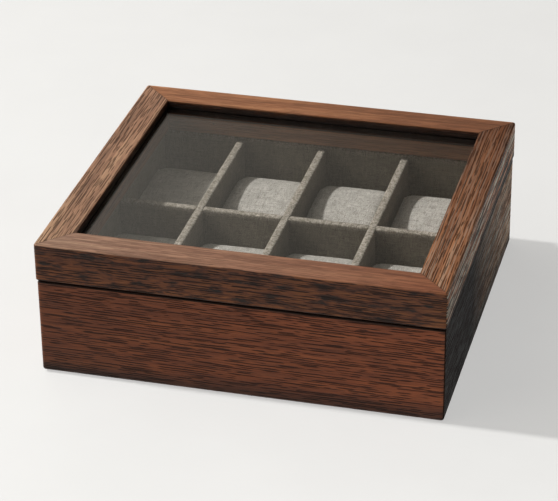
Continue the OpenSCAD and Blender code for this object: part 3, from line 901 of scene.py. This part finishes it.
def build_linen_boards():
    cloth = {seed: linen(f"linen_{seed}", seed, BOARD_SHADED_TINT) for seed in range(4)}
    for index, side in enumerate(SIDES):
        low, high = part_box(f"lining_{side}")
        board = linen_board(f"{side}_lining", low, high, 1.3 * MM, 40 + index)
        place_piece(board, "base", [f"lining_{side}"], cloth[index % 4])
    low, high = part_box("lining_floor")
    pad = linen_board("floor_pad", low, high, 1.0 * MM, 45)
    place_piece(pad, "base", ["lining_floor"], cloth[1])
    crossings = []
    for index, name in enumerate(("left", "middle", "right")):
        low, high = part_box(f"{name}_divider_cover")
        crossings.append((low.x + high.x) / 2)
        cover = linen_board(f"{name}_divider_linen", low, high, DIVIDER_R, 50 + index, 3 * MM, 0.25 * MM,
                            pinch=(0.0,))
        place_piece(cover, "base", [f"{name}_divider_cover"], cloth[(index + 2) % 4])
    build_cross_divider(crossings, cloth[3])


def build_cross_divider(crossings, cloth):
    """The cross divider's linen, in four lengths between the long dividers that cross over it."""
    low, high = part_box("cross_divider_cover")
    half = (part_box("middle_divider_cover")[1].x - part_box("middle_divider_cover")[0].x) / 2
    lap = 0.7 * MM
    stops = [low.x] + [c + s * (half - lap) for c in crossings for s in (-1, 1)] + [high.x]
    parts = []
    for index in range(4):
        part_low = Vector((stops[2 * index], low.y, low.z))
        part_high = Vector((stops[2 * index + 1], high.y, high.z))
        parts.append(linen_board(f"cross_divider_part_{index}", part_low, part_high, DIVIDER_R, 55 + index,
                                 3 * MM, 0.25 * MM))
    cover = joined("cross_divider_linen", parts)
    place_piece(cover, "base", ["cross_divider_cover"], cloth)


def joined(name, parts):
    """Several meshes as one object, with their attributes kept."""
    bpy.ops.object.select_all(action="DESELECT")
    for part in parts:
        part.select_set(True)
    bpy.context.view_layer.objects.active = parts[0]
    bpy.ops.object.join()
    parts[0].name = name
    parts[0].data.name = name
    return parts[0]


# ---------- pillows ----------

PILLOW_PRESSURE = 3.5
PILLOW_FRAMES = 16
# Furthest that the filling pushes a point of the cover out
PILLOW_SWELL = 2.6 * MM
# Where the end seams run, in from each end
PILLOW_SEAM = 2.2 * MM
PIPING_R = 0.75 * MM


def loaf(low, high, shrink, power, seed):
    """A closed pillow: a rounded outline in depth and height, drawn out across its width."""
    centre = (low + high) / 2
    half = (high - low) / 2 * shrink
    around, steps = 56, 14
    shift = Vector((seed * 5.1, seed * 2.9, seed))
    vertices, faces = [], []
    for i in range(steps + 1):
        x = -half.x + 2 * half.x * i / steps
        end = abs(x) / half.x
        pull = 1 - 0.035 * max(0.0, (end - 0.75) / 0.25) ** 2
        for k in range(around):
            a = 2 * math.pi * k / around
            c, s = math.cos(a), math.sin(a)
            y = math.copysign(abs(c) ** (2 / power), c) * half.y * pull
            z = math.copysign(abs(s) ** (2 / power), s) * half.z * pull
            point = Vector((x, y, z))
            point *= 1 + 0.012 * noise.noise(point * 32 + shift)
            vertices.append(centre + point)
    for i in range(steps):
        for k in range(around):
            n = (k + 1) % around
            faces.append((i * around + k, i * around + n, (i + 1) * around + n, (i + 1) * around + k))
    faces.append(list(reversed(range(around))))
    faces.append([steps * around + k for k in range(around)])
    piece = new_piece("loaf", vertices, faces)
    outward_normals(piece)
    return piece


def apply_all(piece):
    """Leaves the piece's evaluated mesh as its own, with no modifiers."""
    bpy.context.view_layer.update()
    graph = bpy.context.evaluated_depsgraph_get()
    mesh = bpy.data.meshes.new_from_object(piece.evaluated_get(graph))
    piece.modifiers.clear()
    piece.data = mesh


def inflate(piece, pressure, frames, cap):
    """Blows the piece up like a stuffed cover, and lets no point move further than cap."""
    start = [v.co.copy() for v in piece.data.vertices]
    cloth = piece.modifiers.new("cloth", "CLOTH")
    settings = cloth.settings
    settings.use_pressure = True
    settings.uniform_pressure_force = pressure
    settings.effector_weights.gravity = 0
    settings.quality = 6
    settings.mass = 0.25
    settings.tension_stiffness = 25
    settings.compression_stiffness = 25
    settings.shear_stiffness = 8
    settings.bending_stiffness = 1.2
    cloth.collision_settings.use_collision = False
    cloth.point_cache.frame_start = 1
    cloth.point_cache.frame_end = frames
    scene = bpy.context.scene
    for number in range(1, frames + 1):
        scene.frame_set(number)
    apply_all(piece)
    scene.frame_set(1)
    for vertex, old in zip(piece.data.vertices, start):
        move = vertex.co - old
        if move.length > cap:
            vertex.co = old + move.normalized() * cap


def pillow(name, low, high, seed):
    """One watch pillow, swollen by its filling, flat where it lies, with piped end seams."""
    piece = loaf(low, high, 0.955, 2.9, seed)
    piece.name = name
    remesh = piece.modifiers.new("even", "REMESH")
    remesh.mode = "VOXEL"
    remesh.voxel_size = 3.6 * MM
    apply_all(piece)
    inflate(piece, PILLOW_PRESSURE, PILLOW_FRAMES, PILLOW_SWELL)
    finer = piece.modifiers.new("finer", "SUBSURF")
    finer.levels = 1
    finer.render_levels = 1
    apply_all(piece)
    shape_pillow(piece, low, high, seed)
    piping = [end_piping(piece, low, high, sign) for sign in (-1, 1)]
    whole = joined(name, [piece] + piping)
    whole.data.shade_smooth()
    return whole


def shape_pillow(piece, low, high, seed):
    """Fits the pillow to its cell, presses its foot flat and puckers it along its end seams."""
    centre = (low + high) / 2
    half = (high - low) / 2
    seam = half.x - PILLOW_SEAM
    shift = Vector((seed * 1.9, seed * 4.3, seed * 2.2))
    weave = []
    for vertex in piece.data.vertices:
        point = vertex.co
        angle = math.atan2((point.z - centre.z) / half.z, (point.y - centre.y) / half.y)
        from_seam = abs(abs(point.x - centre.x) - seam)
        outward = Vector((0, point.y - centre.y, point.z - centre.z))
        on_side = abs(point.x - centre.x) < half.x - 1.5 * MM
        if outward.length > 1e-6:
            outward.normalize()
            pucker = math.sin(angle * 31 + 3 * noise.noise(point * 45 + shift))
            pucker *= 0.30 * MM * math.exp(-from_seam / (5 * MM))
            groove = 0.55 * MM * math.exp(-(from_seam / (1.6 * MM)) ** 2)
            soft = 0.55 * MM * noise.noise(point * 42 + shift)
            point = point + outward * (pucker - groove + soft)
        keep_inside(point, low, high)
        if point.z < low.z + 1.2 * MM:
            point.z = low.z + (point.z - low.z) * 0.15
        vertex.co = point
        around = angle * (half.y + half.z) / 2 * 1.10
        if on_side:
            weave.append((point.x, around, 0))
        else:
            weave.append((point.y + 0.3, point.z, 0))
    put_attribute(piece, "weave", weave, "FLOAT_VECTOR")
    piece.data.update()


def end_piping(piece, low, high, sign):
    """A thin cord of the same linen round one end seam of a pillow."""
    centre = (low + high) / 2
    half = (high - low) / 2
    x = centre.x + sign * (half.x - PILLOW_SEAM)
    radius, around, ring = PIPING_R, 96, 8
    path = []
    for k in range(around):
        a = 2 * math.pi * k / around
        direction = Vector((0, math.cos(a) * half.y, math.sin(a) * half.z)).normalized()
        hit, spot, _, _ = piece.ray_cast(Vector((x, centre.y, centre.z)) + direction * 0.2, -direction)
        path.append(spot if hit else Vector((x, centre.y, centre.z)) + direction * half.z)
    vertices, faces, weave = [], [], []
    run = 0.0
    for k in range(around):
        ahead = (path[(k + 1) % around] - path[k - 1]).normalized()
        side = Vector((1, 0, 0))
        up = ahead.cross(side).normalized()
        if up.dot(path[k] - centre) < 0:
            up = -up
        run += (path[k] - path[k - 1]).length
        for m in range(ring):
            b = 2 * math.pi * m / ring
            point = path[k] + up * (0.15 * MM + radius * math.sin(b)) + side * radius * math.cos(b)
            keep_inside(point, low, high)
            vertices.append(point)
            weave.append((run * 0.7, run * 0.7 + b * radius, 0))
    for k in range(around):
        n = (k + 1) % around
        for m in range(ring):
            j = (m + 1) % ring
            faces.append((k * ring + m, k * ring + j, n * ring + j, n * ring + m))
    cord = new_piece("piping", vertices, faces)
    outward_normals(cord)
    put_attribute(cord, "weave", weave, "FLOAT_VECTOR")
    return cord


def build_pillows():
    for row_index, row in enumerate(ROWS):
        for column in COLUMNS:
            seed = 60 + row_index * 4 + column
            low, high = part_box(f"pillow_{row}_{column}_cover")
            whole = pillow(f"{row}_pillow_{column}", low, high, seed)
            place_piece(whole, f"pillow_{row}_{column}",
                        [f"pillow_{row}_{column}_cover", f"pillow_{row}_{column}_core"],
                        linen(f"linen_pillow_{row}_{column}", seed, PILLOW_TINT))


# ---------- small parts ----------

def build_felt():
    """The felt glued under the base, with soft cut edges."""
    low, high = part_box("base_felt")
    vertices, faces = rounded_box(low, high, 0.4 * MM, 8 * MM)
    moved = []
    for point in vertices:
        rough = 0.25 * MM * noise.noise(point * 400)
        x = point.x - math.copysign(abs(rough), point.x) if abs(point.x) > high.x - 0.5 * MM else point.x
        y = point.y - math.copysign(abs(rough), point.y) if abs(point.y) > high.y - 0.5 * MM else point.y
        moved.append(Vector((x, y, point.z)))
    felt = new_piece("underside_felt", moved, faces)
    outward_normals(felt)
    place_piece(felt, "base", ["base_felt"], felt_cloth())


def finish_frame_nodes():
    """Better materials for the CAD nodes that stay as they are."""
    brass = metal("aged_brass", (0.52, 0.36, 0.16), (0.16, 0.10, 0.045))
    screws = metal("brass_screws", (0.58, 0.42, 0.20), (0.20, 0.13, 0.06), False)
    brads = metal("dark_brads", (0.10, 0.085, 0.07), (0.04, 0.035, 0.03), False)
    ply = plain_wood("bottom_ply", (0.20, 0.085, 0.045), 3)
    board = pressed_board()
    soft = foam()
    for name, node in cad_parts.items():
        if "leaf" in name or name.endswith("_pin"):
            assign(node, brass)
        elif "screws" in name:
            assign(node, screws)
        elif name == "bead_brads":
            assign(node, brads)
        elif name == "base_bottom_panel":
            assign(node, ply)
        elif name.endswith("_board"):
            assign(node, board)
        elif name.endswith("_core"):
            assign(node, soft)
    assign(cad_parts["lid_glass"], glass_pane())
    assign(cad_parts["lid_bumpers"], rubber())


# ---------- stage ----------

FLOOR_TONE = (0.315, 0.316, 0.317)
SUN_POWER = 3.35
SUN_ELEVATION = 46
FLOOR_FILL = 5.1
ROOM = (0.185, 0.182, 0.172)
ROOM_BEHIND = (0.090, 0.080, 0.064)
GLOW = (0.95, 0.91, 0.82)
ROOM_FRONT = (0.070, 0.068, 0.064)


def make_floor():
    """A pale slab, a little brighter towards the lamp."""
    corners = [(-12, -12, 0), (12, -12, 0), (12, 12, 0), (-12, 12, 0)]
    floor = new_piece("floor", corners, [(0, 1, 2, 3)], False)
    t = Tree(bpy.data.materials.new("pale_floor"))
    x, y, _ = t.split(t.place())
    away = t.plus(x, t.times(y, 0.5))
    cloud = t.noise(t.mapping(t.place(), (9, 9, 9)), 1, 4, 0.6)
    level = t.times(t.ramp(away, -0.5, 0.8, 1.07, 0.90), t.ramp(cloud, 0.3, 0.7, 0.99, 1.01))
    tone = t.node("CombineColor")
    for socket, value in zip(tone.inputs[:3], FLOOR_TONE):
        t.feed(socket, t.times(level, value))
    assign(floor, t.finish(t.principled(tone.outputs[0], 0.5, Specular_IOR_Level=0.2)))
    return floor


def lamp(name, power, angle, turn, color):
    data = bpy.data.lights.new(name, "SUN")
    data.energy = power
    data.angle = math.radians(angle)
    data.color = color
    made = bpy.data.objects.new(name, data)
    made.rotation_euler = Euler(turn)
    bpy.context.scene.collection.objects.link(made)
    return made


def make_light(floor):
    """A key from the left, level with the box's depth, and a fill that keeps the floor pale."""
    lamp("key", SUN_POWER, 3, (0, math.radians(SUN_ELEVATION - 90), 0), (1.0, 0.985, 0.955))
    fill = lamp("floor_fill", FLOOR_FILL, 30, (0, 0, 0), (1.0, 0.99, 0.975))
    fill.data.use_shadow = False
    only_floor = bpy.data.collections.new("only_floor")
    only_floor.objects.link(floor)
    fill.light_linking.receiver_collection = only_floor


def make_world():
    """Soft room light: even overhead, dim low down behind, in front and on the right, and
    brightest on the left, round the key."""
    world = bpy.data.worlds.new("room")
    bpy.context.scene.world = world
    t = Tree(world, "OutputWorld")
    x, y, z = t.split(t.node("TexCoord").outputs["Generated"])
    not_high = t.ramp(z, 0.85, 0.55)
    sky = t.mix(t.times(t.ramp(y, 0.10, 0.70), not_high), ROOM, ROOM_BEHIND)
    sky = t.mix(t.times(t.ramp(y, -0.10, -0.70), not_high), sky, ROOM_FRONT)
    sky = t.mix(t.times(t.ramp(x, 0.25, 0.80), not_high), sky, ROOM_BEHIND)
    sky = t.mix(t.times(t.ramp(x, -0.10, -0.58), t.ramp(z, 0.02, 0.40)), sky, GLOW)
    t.finish(t.node("Background", {"Color": sky}).outputs[0])


make_camera()
make_light(make_floor())
make_world()
bpy.context.scene.view_settings.view_transform = "Standard"
build_wood()
build_linen_boards()
build_pillows()
build_felt()
finish_frame_nodes()
